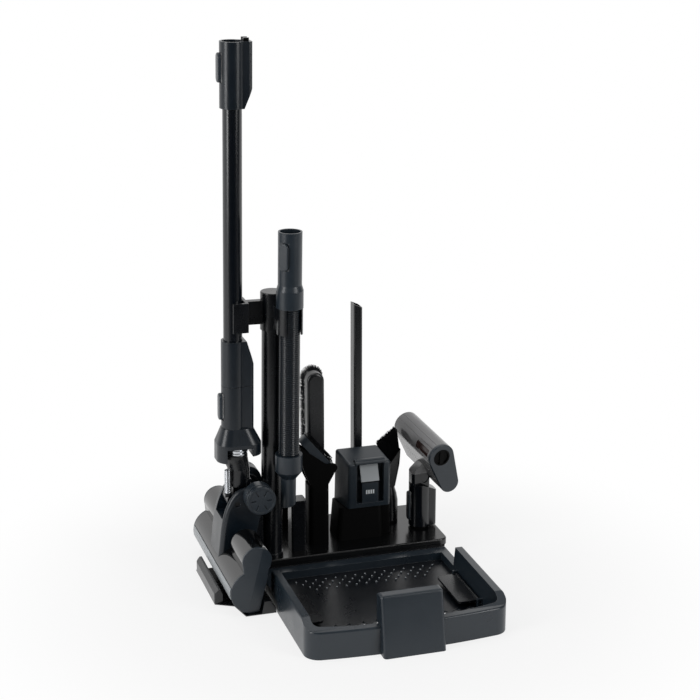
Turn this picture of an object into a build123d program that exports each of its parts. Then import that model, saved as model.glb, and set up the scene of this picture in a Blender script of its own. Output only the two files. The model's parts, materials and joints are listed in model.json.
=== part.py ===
from build123d import *
import os
from math import atan2, cos, degrees, hypot, radians, sin, tan

# Floor station that stores a cordless stick vacuum taken apart, in millimetres.
# +X is right, +Y is back and +Z is up; the origin is on the floor under the middle of the station.

# The tools overhang the plate on the right, so the middle of the outline is right of the plate's
MID_X = 12.63

# Station base
HALF_W = 238.0
HALF_D = 276.0
FOOT_H = 2.0
FOOT_R = 10.0
WALL = 3.0
PLATE_LEFT = -126.0
PLATE_FRONT = 92.0
PLATE_BOTTOM = 25.0
PLATE_TOP = 38.0
PLATE_CORNER = 16.0
BASE_INSET = 6.0
BASE_FRONT = 86.0

# Wash tray in front of the base
TRAY_MID = 45.0
TRAY_W = 366.0
TRAY_BACK = 84.0
TRAY_SIDE_FRONT = -243.0
TRAY_BOW = 13.0
TRAY_CORNER = 28.0
TRAY_WALL = 15.0
TRAY_GAP = 0.6
TRAY_FLOOR_BOTTOM = 6.0
TRAY_FLOOR = 10.0
TRAY_RIM = 52.0
RIM_EDGE = 4.0
SIDE_RIM = 65.0
SIDE_EDGE = 3.0
SIDE_FRONT = -206.0
SIDE_SLOPE = 30.0
SIDE_BACK = -10.0
LEDGE_FRONT = 62.0
LEDGE_TOP = 25.0
BUMP_PITCH_X = 19.0
BUMP_PITCH_Y = 13.0
BUMP_FIRST_Y = 40.0
BUMP_R = 2.4
BUMP_H = 2.6
BUMP_ROWS = (15, 14, 13, 12)
SLOT_PITCH = 25.0
SLOT_LENGTH = 34.0
SLOT_W = 6.0
SLOT_Y = -160.0
SLOT_TILT = 38.0
SLOT_COUNT = 12
LIP_W = 1.8
LIP_H = 3.0
PANEL_W = 112.0
PANEL_TOP = 107.0
PANEL_LEAN = 21.0
FLAP_L = 115.0
FLAP_W = 38.0
FLAP_T = 4.0
FLAP_MID_Y = -88.0
FLAP_Z = 20.0
FLAP_PIN_R = 2.5
RUN = 0.06

# Upright group: post, wand and hose lean a little to the right together
LEAN = 1.0
POST_X = -104.0
POST_Y = 120.0
POST_R = 19.5
POST_TOP = 541.0
SLEEVE_R = 22.3
SLEEVE_BOTTOM = 478.0
SLEEVE_TOP = 548.0
WAND_X = -179.5
WAND_Y = 110.0
WAND_R = 17.0
WAND_BORE = 15.2
JAW_HALF = 18.6
JAW_WALL = 5.4
JAW_REACH = 5.0
JAW_FIT = 0.1
JAW_BOTTOM = 483.0
JAW_TOP = 537.0
HOSE_X = -84.0
HOSE_Y = 76.5
HOSE_R = 19.3
HOSE_ROOT = 17.9
HOSE_BORE = 16.0
HOSE_RIBS = 46

# Floor head, standing on its nose with the roller along Y
HEAD_FRONT = -45.0
HEAD_BACK = 265.0
CAP_T = 5.0
CAP_EDGE = 1.5
CREASE = 21.4
CREASE_FALL = 3.6
ROLLER_X = -181.0
ROLLER_Z = 44.0
ROLLER_LOBE = 40.0
MOTOR_X = -172.0
MOTOR_Z = 102.0
MOTOR_LOBE = 27.0
LOBE_ROUND = 10.0
NOTCH_FRONT = 52.0
NOTCH_BACK = 168.0
SOLE_POINT = (-165.2, 21.9)
SOLE_TILT = 14.0
SOLE_T = 3.0
SADDLE_HALF = 38.0
SADDLE_SLOT = (80.0, 132.0)
SADDLE_FLOOR = 136.0
SADDLE_EDGE = 8.0
HEAD_MID = (HEAD_FRONT + HEAD_BACK) / 2
WHEEL_X = -141.0
WHEEL_Z = 180.0
WHEEL_R = 27.0
WHEEL_FACE = 70.0
PIVOT_X = -178.0
PIVOT_Z = 166.0
NECK_R = 20.5
NECK_X = -169.7
NECK_TOP = 222.0
FLANGE_R = 23.5
FLANGE_X = -176.5
FLANGE_Z = (244.0, 250.0)
SPIGOT_R = 12.0
SPIGOT_TOP = 312.0
RING_STEPS = ((20.5, 250.4, 254), (18.5, 254, 257), (21, 257, 260), (18.5, 260, 263), (20, 263, 266.4))
DUCT_AT = (-190.5, 94.0)
DUCT_BOTTOM = 181.0
DUCT_RIBS = 12
DUCT_PITCH = 3.8
DUCT_R = 6.4
DUCT_ROOT = 5.4
DUCT_BORE = 4.2
REST = (90.0, 130.0)
REST_TOP = 150.0
REST_FOOT = -150.0
REST_BACK = -127.0
REST_GAP = 0.6

# Tools on the plate
PEG_R = 13.5
PEG_TOP = 88.0
CREVICE_AT = (96.0, 229.0)
TALL_AT = (10.0, 218.0)
DUST_AT = (156.5, 210.0)
MINI_AT = (205.0, 168.0)
SPARE_AT = (-45.0, 241.0)

lean = Pos(POST_X, 0, PLATE_TOP) * Rot(0, LEAN, 0) * Pos(-POST_X, 0, -PLATE_TOP)


def block(x0, x1, y0, y1, z0, z1):
    return Pos((x0 + x1) / 2, (y0 + y1) / 2, (z0 + z1) / 2) * Box(x1 - x0, y1 - y0, z1 - z0)


def rod_z(x, y, r, z0, z1):
    return Pos(x, y, (z0 + z1) / 2) * Cylinder(r, z1 - z0)


def rod_y(x, z, r, y0, y1):
    return Pos(x, (y0 + y1) / 2, z) * Rot(90, 0, 0) * Cylinder(r, y1 - y0)


def cone_z(x, y, r0, r1, z0, z1):
    return Pos(x, y, (z0 + z1) / 2) * Cone(r0, r1, z1 - z0)


def upright(face, z0, z1):
    return extrude(Pos(0, 0, z0) * face, z1 - z0)


def along_y(face, y0, y1):
    return extrude(Plane.XZ.offset(-y1) * face, y1 - y0)


def along_x(face, x0, x1):
    return extrude(Plane.YZ.offset(x0) * face, x1 - x0)


def polygon(*points):
    return make_face(Polyline(*points, close=True))


def rounded(x0, x1, y0, y1, r):
    return Pos((x0 + x1) / 2, (y0 + y1) / 2) * RectangleRounded(x1 - x0, y1 - y0, r)


def soft_top(solid, r):
    return fillet(solid.faces().sort_by(Axis.Z)[-1].edges(), r)


# Station base

def base_shell():
    right = HALF_W - BASE_INSET
    back = HALF_D - BASE_INSET
    ceiling = PLATE_BOTTOM - WALL
    outer = upright(rounded(PLATE_LEFT, right, BASE_FRONT, back, 12), FOOT_H, PLATE_BOTTOM)
    inner = upright(rounded(PLATE_LEFT + WALL, right - WALL, BASE_FRONT + WALL, back - WALL, 9),
                    FOOT_H, ceiling)
    shell = outer - inner
    for x in (-95, 205):
        for y in (115, 240):
            shell += rod_z(x, y, 5, FOOT_H + 2.5, ceiling)
    for x in TONGUE_X:
        shell -= block(x - 21, x + 21, BASE_FRONT - 1, BASE_FRONT + WALL + 1, 7, 15)
    return shell


def base_bottom_cover():
    gap = WALL + 0.2
    face = rounded(PLATE_LEFT + gap, HALF_W - BASE_INSET - gap,
                   BASE_FRONT + gap, HALF_D - BASE_INSET - gap, 9)
    return upright(face, FOOT_H, FOOT_H + 2.5)


def rubber_feet():
    spots = [(x, y) for x in (-95, 205) for y in (115, 240)] + [(-205, 25), (-205, 150)]
    return Compound([rod_z(x, y, FOOT_R, 0, FOOT_H) for x, y in spots])


def top_plate():
    plate = upright(rounded(PLATE_LEFT, HALF_W, PLATE_FRONT, HALF_D, PLATE_CORNER), PLATE_BOTTOM, PLATE_TOP)
    return soft_top(plate, 3)


def head_cradle():
    floor_top = FOOT_H + 1.6
    outline = polygon((-HALF_W, 14), (-206, -4), (-196, -50), (-140, -50), (-140, BASE_FRONT),
                      (PLATE_LEFT, BASE_FRONT), (PLATE_LEFT, 168), (-HALF_W, 168))
    rail = polygon((-HALF_W, FOOT_H), (-HALF_W, 22), (-231, 30), (-227, 30), (-223, 20), (-223, FOOT_H))
    rail = along_y(rail, 13, 167)
    rail = fillet(rail.edges().filter_by(Axis.Z).sort_by(Axis.X)[:2], 5)
    wedge = polygon((-167, FOOT_H), (-161.4, 26), (-150, 26), (-141, 12), (-141, FOOT_H))
    knee = SOLE_POINT[1] + (REST_FOOT - REST_GAP - SOLE_POINT[0]) / tan(radians(SOLE_TILT))
    rest = polygon((REST_FOOT, FOOT_H), (REST_FOOT, knee), (sole_x(REST_TOP) + REST_GAP, REST_TOP),
                   (REST_BACK, REST_TOP), (REST_BACK, FOOT_H))
    cradle = upright(outline, FOOT_H, floor_top) + rail
    return cradle + along_y(wedge, -50, BASE_FRONT) + along_y(rest, *REST)


def tool_pegs():
    pegs = []
    for x, y in (CREVICE_AT, TALL_AT, DUST_AT, MINI_AT, SPARE_AT):
        stem = rod_z(x, y, PEG_R, PLATE_TOP, PEG_TOP)
        stem = chamfer(stem.faces().sort_by(Axis.Z)[-1].edges(), 3)
        pegs.append(stem + rod_z(x, y, PEG_R + 4, PLATE_TOP, PLATE_TOP + 4))
    return Compound(pegs)


def brush_stand():
    stand = block(-64, -35, 120, 150, PLATE_TOP, 138)
    return fillet(stand.edges().filter_by(Axis.Z), 4)


# Charger and battery

DOCK_FOOT = ((31.0, 139.0), (124.0, 139.0), (116.0, 205.0), (33.0, 205.0))
DOCK_HEAD = ((38.0, 147.0), (122.0, 147.0), (116.0, 205.0), (38.0, 205.0))
DOCK_CORNER = 8.0
DOCK_TOP = 101.0
DOCK_SIDE = (110.0, 141.0, 152.0, 199.0)
STEM = (62.0, 108.0, 160.0, 200.0)
STEM_BOTTOM = 76.0
STEM_ROOM = 0.5
BOARD = (51.0, 107.0, 151.0, 199.0)
BOARD_Z = 46.0
BOARD_ROOM = 12.0


def charger_dock():
    foot = fillet(polygon(*DOCK_FOOT).vertices(), DOCK_CORNER)
    head = fillet(polygon(*DOCK_HEAD).vertices(), DOCK_CORNER)
    body = loft([Pos(0, 0, PLATE_TOP) * foot, Pos(0, 0, DOCK_TOP) * head], ruled=True)
    body += upright(rounded(*DOCK_SIDE, 6), PLATE_TOP, DOCK_TOP - 4)
    body -= block(STEM[0] - STEM_ROOM, STEM[1] + STEM_ROOM, STEM[2] - STEM_ROOM, STEM[3] + STEM_ROOM,
                  STEM_BOTTOM - 8, DOCK_TOP + 1)
    x0, x1, y0, y1 = BOARD
    return body - block(x0 - 1, x1 + 1, y0 - 1, y1 + 1, BOARD_Z, BOARD_Z + BOARD_ROOM)


def charger_board():
    return block(*BOARD, BOARD_Z, BOARD_Z + 1.6)


def charger_contacts():
    blades = [block(x - 0.8, x + 0.8, 174, 190, STEM_BOTTOM - 8, STEM_BOTTOM - 1) for x in (75, 85, 95)]
    return Compound(blades)


# The pack's plan is a parallelogram: its back stands further left than its front
BATT_LEFT = 53.0
BATT_W = 84.0
BATT_SKEW = 10.0
BATT_FRONT = 138.0
BATT_BACK = 207.0
BATT_BOTTOM = DOCK_TOP + 0.4
BATT_FRONT_TOP = 191.0
BATT_BACK_TOP = 204.0
BATT_EDGE = 5.0
CHANNEL = (69.0, 122.6)
CHANNEL_BACK = 155.5
CHANNEL_Z = (110.0, 189.0)
TONGUE = (80.0, 112.0)
TONGUE_FRONT = 140.0
TONGUE_TOP = 150.0
LATCH = (78.0, 113.5)
LATCH_LOW = (138.0, 153.0)
LATCH_HIGH = (150.0, 184.0)
LATCH_T = 2.6
BROW = (66.0, 124.5)
BROW_AT = (145.0, 190.0)
BROW_R = 8.0
CELL_R = 9.1
CELL_L = 65.0
CELL_PITCH = 19.0
CELL_FIRST = (73.0, 170.0)


def battery_case():
    right = BATT_LEFT + BATT_W
    plan = polygon((BATT_LEFT, BATT_FRONT), (right, BATT_FRONT), (right - BATT_SKEW, BATT_BACK),
                   (BATT_LEFT - BATT_SKEW, BATT_BACK))
    side = polygon((BATT_FRONT + 2, BATT_BOTTOM), (BATT_FRONT, BATT_FRONT_TOP),
                   (BATT_BACK - 6, BATT_BACK_TOP), (BATT_BACK, BATT_BOTTOM))
    case = upright(plan, BATT_BOTTOM, BATT_BACK_TOP + 1)
    case &= along_x(side, BATT_LEFT - 2 * BATT_SKEW, right + BATT_SKEW)
    case = fillet(case.edges().filter_by(lambda e: e.center().Z > BATT_BOTTOM + 1), BATT_EDGE)
    case += along_x(Pos(*BROW_AT) * Circle(BROW_R), *BROW)
    case += block(*STEM, STEM_BOTTOM, BATT_BOTTOM + 1)
    case -= block(*CHANNEL, BATT_FRONT - 5, CHANNEL_BACK, *CHANNEL_Z)
    case += block(*TONGUE, TONGUE_FRONT, CHANNEL_BACK + 1, CHANNEL_Z[0] - 1, TONGUE_TOP)
    x, y = CELL_FIRST
    room = CELL_R + 2
    return case - block(x - room, x + 2 * CELL_PITCH + room, y - room, y + CELL_PITCH + room,
                        BATT_BOTTOM + 6, BATT_BOTTOM + 15 + CELL_L)


def battery_cells():
    base = BATT_BOTTOM + 6
    x, y = CELL_FIRST
    cells = [rod_z(x + CELL_PITCH * i, y + CELL_PITCH * j, CELL_R, base, base + CELL_L)
             for j in range(2) for i in range(3)]
    return Compound(cells)


def battery_latch():
    low_y, low_z = LATCH_LOW
    high_y, high_z = LATCH_HIGH
    side = polygon(LATCH_LOW, LATCH_HIGH, (high_y + LATCH_T, high_z - 1), (low_y + LATCH_T + 0.4, low_z))
    pad = along_x(side, *LATCH)
    return fillet(pad.edges().filter_by(Axis.X).sort_by(Axis.Y)[0], 0.8)


def battery_lights():
    places = (89, 93.5, 98, 102.5)
    return Compound([block(x - 1.4, x + 1.4, TONGUE_FRONT - 0.3, TONGUE_FRONT, 128, 136) for x in places])


# Wash tray

TONGUE_X = (-49.0, 133.0)


def tray_outline(inset):
    half = TRAY_W / 2 - inset
    left = TRAY_MID - half
    right = TRAY_MID + half
    front = TRAY_SIDE_FRONT + inset
    nose = front - TRAY_BOW
    edge = ThreePointArc((left, front), (TRAY_MID, nose), (right, front))
    rest = Polyline((right, front), (right, TRAY_BACK), (left, TRAY_BACK), (left, front))
    face = make_face(edge + rest)
    corners = face.vertices().group_by(Axis.Y)[0]
    return fillet(corners, max(TRAY_CORNER - inset, 6))


def wash_tray():
    low = TRAY_MID - TRAY_W / 2 - 1
    high = TRAY_MID + TRAY_W / 2 + 1
    slope_foot = SIDE_FRONT - SIDE_SLOPE
    ledge_front = SIDE_BACK + 8
    tray = soft_top(upright(tray_outline(0), TRAY_GAP, TRAY_RIM), RIM_EDGE)
    sides = upright(tray_outline(0), LEDGE_TOP, SIDE_RIM)
    sides &= along_x(polygon((slope_foot, LEDGE_TOP), (slope_foot, TRAY_RIM), (SIDE_FRONT, SIDE_RIM),
                             (SIDE_BACK, SIDE_RIM), (ledge_front, LEDGE_TOP)), low, high)
    tray += fillet(sides.edges().filter_by(Axis.Y).group_by(Axis.Z)[-1], SIDE_EDGE)
    tray -= along_x(polygon((SIDE_BACK, SIDE_RIM), (ledge_front, LEDGE_TOP), (TRAY_BACK + 1, LEDGE_TOP),
                            (TRAY_BACK + 1, SIDE_RIM)), low, high)
    inside = upright(tray_outline(TRAY_WALL), TRAY_FLOOR, SIDE_RIM + 1)
    inside -= block(low, high, LEDGE_FRONT, TRAY_BACK + 1, TRAY_FLOOR, SIDE_RIM + 1)
    tray -= inside
    under = upright(tray_outline(TRAY_WALL + 2), TRAY_GAP, TRAY_FLOOR_BOTTOM)
    under -= block(low, high, LEDGE_FRONT, TRAY_BACK + 1, TRAY_GAP, TRAY_FLOOR_BOTTOM)
    tray -= under
    slot = SlotOverall(SLOT_LENGTH, SLOT_W)
    lip = Pos(0, (SLOT_W + LIP_W) / 2) * Rectangle(SLOT_LENGTH - SLOT_W, LIP_W)
    lips = []
    for i in range(SLOT_COUNT):
        place = Pos(TRAY_MID + SLOT_PITCH * (i - (SLOT_COUNT - 1) / 2), SLOT_Y) * Rot(0, 0, SLOT_TILT)
        tray -= upright(place * slot, TRAY_FLOOR_BOTTOM - 1, TRAY_FLOOR + 1)
        lips.append(upright(place * lip, TRAY_FLOOR - 0.5, TRAY_FLOOR + LIP_H))
    bumps = []
    for row, count in enumerate(BUMP_ROWS):
        y = BUMP_FIRST_Y - BUMP_PITCH_Y * row
        for i in range(count):
            x = TRAY_MID + 9 + BUMP_PITCH_X * (i - (count - 1) / 2)
            stud = Pos(x, y, TRAY_FLOOR - 0.5) * RegularPolygon(BUMP_R, 8)
            bumps.append(extrude(stud, BUMP_H + 0.5, taper=20))
    tray = tray.fuse(*bumps, *lips)
    for x in TONGUE_X:
        tray += block(x - 20, x + 20, TRAY_BACK - 4, TRAY_BACK + 20, 8, 14)
    for sign in (-1, 1):
        x = flap_hinge_x(sign)
        for y in (FLAP_MID_Y - FLAP_L / 2 - 5, FLAP_MID_Y + FLAP_L / 2 + 5):
            ear = block(min(x, x + sign * 5) - 5, max(x, x + sign * 5) + 5, y - 3, y + 3,
                        TRAY_FLOOR - 1, FLAP_Z + 6)
            tray += ear
        tray -= rod_y(x, FLAP_Z, FLAP_PIN_R + RUN, FLAP_MID_Y - FLAP_L / 2 - 9, FLAP_MID_Y + FLAP_L / 2 + 9)
    return tray


def tray_front_panel():
    wall_front = TRAY_SIDE_FRONT - TRAY_BOW
    front = -HALF_D
    side = polygon((front, TRAY_GAP), (front + PANEL_LEAN, PANEL_TOP),
                   (wall_front + TRAY_WALL + 9, PANEL_TOP),
                   (wall_front + TRAY_WALL + 9, TRAY_RIM + 0.2), (wall_front + 6, TRAY_RIM + 0.2),
                   (wall_front + 6, TRAY_GAP))
    panel = along_x(side, TRAY_MID - 1 - PANEL_W / 2, TRAY_MID - 1 + PANEL_W / 2)
    tops = panel.edges().filter_by(lambda e: e.center().Z > PANEL_TOP - 0.1)
    sides = panel.edges().filter_by(lambda e: abs(e.center().Z - PANEL_TOP / 2) < 2 and e.length > 90)
    panel = fillet(tops + sides, 6)
    return panel - upright(tray_outline(-0.1), TRAY_GAP - 1, TRAY_RIM + 0.2)


def flap_hinge_x(sign):
    return TRAY_MID + sign * (TRAY_W / 2 - TRAY_WALL - 5)


def flap(sign):
    x = flap_hinge_x(sign)
    y0 = FLAP_MID_Y - FLAP_L / 2
    y1 = FLAP_MID_Y + FLAP_L / 2
    edge = x - sign * FLAP_W
    plate = block(min(x, edge), max(x, edge), y0, y1, FLAP_Z - FLAP_T / 2, FLAP_Z + FLAP_T / 2)
    plate = fillet(plate.edges().filter_by(Axis.Z).sort_by(lambda e: sign * e.center().X)[:2], 6)
    return plate + rod_y(x, FLAP_Z, 4, y0, y1) + rod_y(x, FLAP_Z, FLAP_PIN_R, y0 - 7, y1 + 7)


# Floor head

sole_dir = (sin(radians(SOLE_TILT)), cos(radians(SOLE_TILT)))
sole_normal = (sole_dir[1], -sole_dir[0])


def sole_x(z):
    return SOLE_POINT[0] + (z - SOLE_POINT[1]) * tan(radians(SOLE_TILT))


def sole_side(offset):
    reach = 260
    px = SOLE_POINT[0] + sole_normal[0] * offset
    pz = SOLE_POINT[1] + sole_normal[1] * offset
    return polygon((px - reach * sole_dir[0], pz - reach * sole_dir[1]),
                   (px + reach * sole_dir[0], pz + reach * sole_dir[1]),
                   (px + reach * (sole_dir[0] + sole_normal[0]), pz + reach * (sole_dir[1] + sole_normal[1])),
                   (px + reach * (sole_normal[0] - sole_dir[0]), pz + reach * (sole_normal[1] - sole_dir[1])))


def roller_lobe(r=ROLLER_LOBE):
    return Pos(ROLLER_X, ROLLER_Z) * Circle(r)


def lobe_web():
    return polygon((-197, 82), (-198.6, 104), (-146, 104), (-160, 50))


def motor_lobe():
    return Pos(MOTOR_X, MOTOR_Z) * Circle(MOTOR_LOBE) + lobe_web()


def motor_arm(end, notch):
    """One half of the motor lobe, rounded where it faces the saddle."""
    inward = LOBE_ROUND if notch > end else -LOBE_ROUND
    arm = rod_y(MOTOR_X, MOTOR_Z, MOTOR_LOBE, *sorted((end, notch)))
    rims = arm.edges().filter_by(GeomType.CIRCLE).sort_by(Axis.Y)
    arm = fillet(rims[-1 if notch > end else 0], LOBE_ROUND)
    return arm + along_y(lobe_web(), *sorted((end, notch - inward)))


def head_blank():
    y0 = HEAD_FRONT + CAP_T
    y1 = HEAD_BACK - CAP_T
    blank = along_y(roller_lobe(), y0, y1)
    blank += motor_arm(y0, NOTCH_FRONT)
    blank += motor_arm(y1, NOTCH_BACK)
    return blank - along_y(sole_side(0), y0 - 1, y1 + 1)


def belt_line(r_motor, r_roller):
    return make_hull((Pos(MOTOR_X, MOTOR_Z) * Circle(r_motor)).edges()
                     + (Pos(ROLLER_X, ROLLER_Z) * Circle(r_roller)).edges())


BELT_Y = (HEAD_FRONT + CAP_T + 3, HEAD_FRONT + CAP_T + 11)


def head_shell():
    y0 = HEAD_FRONT + CAP_T
    y1 = HEAD_BACK - CAP_T
    shell = head_blank() - along_y(sole_side(-SOLE_T), y0 - 1, y1 + 1)
    shell -= rod_y(ROLLER_X, ROLLER_Z, 27, y0 - 1, y1 + 1)
    shell -= rod_y(MOTOR_X, MOTOR_Z, 15.05, BELT_Y[1], 38)
    shell -= along_y(belt_line(12, 14), y0 - 1, BELT_Y[1] + 1)
    return shell


def head_sole_plate():
    y0 = HEAD_FRONT + CAP_T
    y1 = HEAD_BACK - CAP_T
    plate = head_blank() & along_y(sole_side(-SOLE_T), y0, y1)
    return plate - rod_y(ROLLER_X, ROLLER_Z, 27, y0 + 12, y1 - 12)


def end_cap(outer, inner):
    """Cover at one end of the head, folded back along a crease that runs beside the sole."""
    inward = 1 if inner > outer else -1
    cap = along_y(roller_lobe() + motor_lobe() - sole_side(0), *sorted((outer, inner)))
    face = cap.faces().sort_by(Axis.Y)[0 if inward > 0 else -1]
    cap = fillet(face.edges(), CAP_EDGE)
    start = (SOLE_POINT[0] - CREASE * sole_normal[0], outer, SOLE_POINT[1] - CREASE * sole_normal[1])
    fold = Plane(start, x_dir=(sole_normal[0], 0, sole_normal[1]), z_dir=(sole_dir[0], 0, sole_dir[1]))
    reach = 1.4 * CREASE
    wedge = polygon((0, 0), (0, -inward), (reach, -inward), (reach, inward * CREASE_FALL))
    cap -= extrude(fold * wedge, 2 * ROLLER_LOBE + 2 * MOTOR_LOBE, both=True)
    return cap - rod_y(ROLLER_X, ROLLER_Z, 4 + RUN, *sorted((inner, inner - 3.5 * inward)))


def bumper_strip():
    ring = roller_lobe(ROLLER_LOBE + 1.2) - roller_lobe(ROLLER_LOBE)
    keep = polygon((ROLLER_X, ROLLER_Z), (-260, 66), (-260, 24))
    return along_y(ring & keep, HEAD_FRONT + CAP_T, HEAD_BACK - CAP_T)


def brush_roller():
    y0 = HEAD_FRONT + CAP_T
    y1 = HEAD_BACK - CAP_T
    drum = rod_y(ROLLER_X, ROLLER_Z, 17, BELT_Y[1] + 4, y1 - 14)
    for i in range(6):
        strip = block(-2, 2, BELT_Y[1] + 6, y1 - 15, 15, 23.5)
        drum += Pos(ROLLER_X, 0, ROLLER_Z) * Rot(0, 60 * i, 0) * strip
    drum += rod_y(ROLLER_X, ROLLER_Z, 9, BELT_Y[0], BELT_Y[1] + 4)
    return drum + rod_y(ROLLER_X, ROLLER_Z, 4, y0 - 3, y1 + 3)


def drive_motor():
    can = rod_y(MOTOR_X, MOTOR_Z, 15, BELT_Y[1] + 2, 38)
    return can - rod_y(MOTOR_X, MOTOR_Z, 2.5 + RUN, BELT_Y[1], BELT_Y[1] + 14)


def motor_pulley():
    return rod_y(MOTOR_X, MOTOR_Z, 7, *BELT_Y) + rod_y(MOTOR_X, MOTOR_Z, 2.5, BELT_Y[1], BELT_Y[1] + 12)


def drive_belt():
    return along_y(belt_line(8.6, 10.6) - belt_line(7.2, 9.2), BELT_Y[0] + 1, BELT_Y[1] - 1)


def saddle():
    """Fork that carries the wheels and the neck's trunnions."""
    outer = Spline((-150, 194), (-180, 187), (-198, 160), (-209, 115), (-215, 66))
    rest = Polyline((-215, 66), (-208, 56), (sole_x(56), 56), (sole_x(150), 150), (-129, 166), (-129, 192),
                    (-150, 194))
    y0 = HEAD_MID - SADDLE_HALF
    y1 = HEAD_MID + SADDLE_HALF
    body = along_y(make_face(Curve() + [outer, rest]), y0, y1)
    body = fillet(body.edges().filter_by(GeomType.BSPLINE), SADDLE_EDGE)
    body += rod_y(WHEEL_X, WHEEL_Z, 17, y0, y1)
    gap = polygon((-230, 210), (-100, 210), (-152, 152), (-176, SADDLE_FLOOR), (-230, SADDLE_FLOOR))
    body -= along_y(gap, *SADDLE_SLOT)
    body -= rod_y(ROLLER_X, ROLLER_Z, ROLLER_LOBE + 0.05, y0 - 1, y1 + 1)
    body -= rod_y(PIVOT_X, PIVOT_Z, 5 + RUN, y0 - 1, y1 + 1)
    return body - rod_y(WHEEL_X, WHEEL_Z, 4.02, y0 - 1, y1 + 1)


def wheel_axle():
    return rod_y(WHEEL_X, WHEEL_Z, 4, HEAD_MID - WHEEL_FACE + 6, HEAD_MID + WHEEL_FACE - 6)


def wheel(sign):
    inner = HEAD_MID + sign * (SADDLE_HALF + 0.6)
    face = HEAD_MID + sign * WHEEL_FACE
    body = rod_y(WHEEL_X, WHEEL_Z, WHEEL_R - 1.4, *sorted((inner, face)))
    body += rod_y(WHEEL_X, WHEEL_Z, WHEEL_R, *sorted((inner, face - sign * 12)))
    body += rod_y(WHEEL_X, WHEEL_Z, WHEEL_R, *sorted((face - sign * 9, face - sign * 1.5)))
    body -= rod_y(WHEEL_X, WHEEL_Z, WHEEL_R - 4.5, *sorted((face - sign * 1.2, face + sign)))
    for i in range(6):
        slot = block(10, 20, *sorted((face - sign * 4, face + sign)), -0.9, 0.9)
        body -= Pos(WHEEL_X, 0, WHEEL_Z) * Rot(0, 60 * i, 0) * slot
    return body - rod_y(WHEEL_X, WHEEL_Z, 4 + RUN, *sorted((inner - sign, face - sign * 5.5)))


# Neck and wand

def oblong(r, right, half):
    return Pos(WAND_X, WAND_Y) * Circle(r) + rounded(WAND_X, right, WAND_Y - half, WAND_Y + half, 7)


def neck_tube():
    low = Pos(NECK_X, WAND_Y, NECK_TOP) * Circle(NECK_R)
    high = Pos(FLANGE_X, WAND_Y, FLANGE_Z[0]) * Circle(FLANGE_R)
    tube = rod_z(NECK_X, WAND_Y, NECK_R, 190, NECK_TOP) + loft([low, high])
    tube += rod_z(FLANGE_X, WAND_Y, FLANGE_R, *FLANGE_Z)
    tube = lean * (tube + rod_z(WAND_X, WAND_Y, SPIGOT_R, FLANGE_Z[1] - 2, SPIGOT_TOP))
    eye = rod_y(PIVOT_X, PIVOT_Z, 15, WAND_Y - 19, WAND_Y + 19)
    web = polygon((-181, 170), (-181, 204), (-147, 204), (-153, 166), (-170, 156))
    tube += eye + along_y(web, WAND_Y - 16, WAND_Y + 16)
    tube += block(DUCT_AT[0] - 7, PIVOT_X, DUCT_AT[1] - 7, DUCT_AT[1] + 7, DUCT_BOTTOM - 5, DUCT_BOTTOM)
    return tube + rod_y(PIVOT_X, PIVOT_Z, 5, WAND_Y - 36, WAND_Y + 36)


def swivel_ring():
    x = WAND_X + 6
    ring = rod_z(x, WAND_Y, *RING_STEPS[0])
    for step in RING_STEPS[1:]:
        ring += rod_z(x, WAND_Y, *step)
    return lean * (ring - rod_z(WAND_X, WAND_Y, SPIGOT_R + 0.05, 249, 270))


def neck_hose():
    x, y = DUCT_AT
    profile = ((0, DUCT_ROOT), (1.2, DUCT_ROOT), (1.6, DUCT_R), (3.4, DUCT_R))
    rings = []
    for i in range(DUCT_RIBS):
        for dz, r in profile:
            rings.append(Pos(x, y, DUCT_BOTTOM + DUCT_PITCH * i + dz) * RegularPolygon(r, 16))
    top = DUCT_BOTTOM + DUCT_PITCH * DUCT_RIBS
    rings.append(Pos(x, y, top) * RegularPolygon(DUCT_ROOT, 16))
    return loft(rings, ruled=True) - rod_z(x, y, DUCT_BORE, DUCT_BOTTOM + 4, top + 1)


def neck_socket():
    skirt = rounded(-212, -130, WAND_Y - 32, WAND_Y + 32, 24)
    top = rounded(-202.4, -144, WAND_Y - 21.5, WAND_Y + 21.5, 20)
    body = upright(oblong(21.5, -144, 17), 290, 381)
    body += loft([Pos(0, 0, 274) * skirt, Pos(0, 0, 302) * top])
    body += upright(skirt, 241, 274)
    body -= rod_z(WAND_X, WAND_Y, 29, 240, 268)
    body -= block(-197, -150, WAND_Y - 40, WAND_Y + 40, 240, 267)
    body -= block(-160, -120, WAND_Y - 40, WAND_Y + 40, 240, 252)
    body -= rod_z(WAND_X, WAND_Y, SPIGOT_R + RUN, 260, SPIGOT_TOP + 2)
    body -= rod_z(WAND_X, WAND_Y, WAND_R + 0.02, 340, 382)
    return lean * (body - button_pocket(317, 367, 19))


def button_pocket(z0, z1, width):
    x = WAND_X - 21.5
    return block(x - 10, x + 3.3, WAND_Y - width / 2 - 0.4, WAND_Y + width / 2 + 0.4, z0 - 0.4, z1 + 0.4)


def side_button(z0, z1, width):
    x = WAND_X - 21.5
    outline = Pos(WAND_Y, (z0 + z1) / 2) * RectangleRounded(width, z1 - z0, width / 2 - 0.5)
    pad = along_x(outline, x - 5.5, x + 0.4)
    pad = fillet(pad.faces().sort_by(Axis.X)[0].edges(), 2.5)
    return lean * pad


def wand_lower_collar():
    body = upright(oblong(21.5, -144, 17), 381.6, 465)
    body -= along_y(polygon((-158, 466), (-143, 417), (-130, 417), (-130, 466)), WAND_Y - 30, WAND_Y + 30)
    return lean * (body - rod_z(WAND_X, WAND_Y, WAND_R + 0.02, 380, 466))


def wand_tube():
    return lean * (rod_z(WAND_X, WAND_Y, WAND_R, 341, 936) - rod_z(WAND_X, WAND_Y, WAND_BORE, 340, 937))


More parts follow.
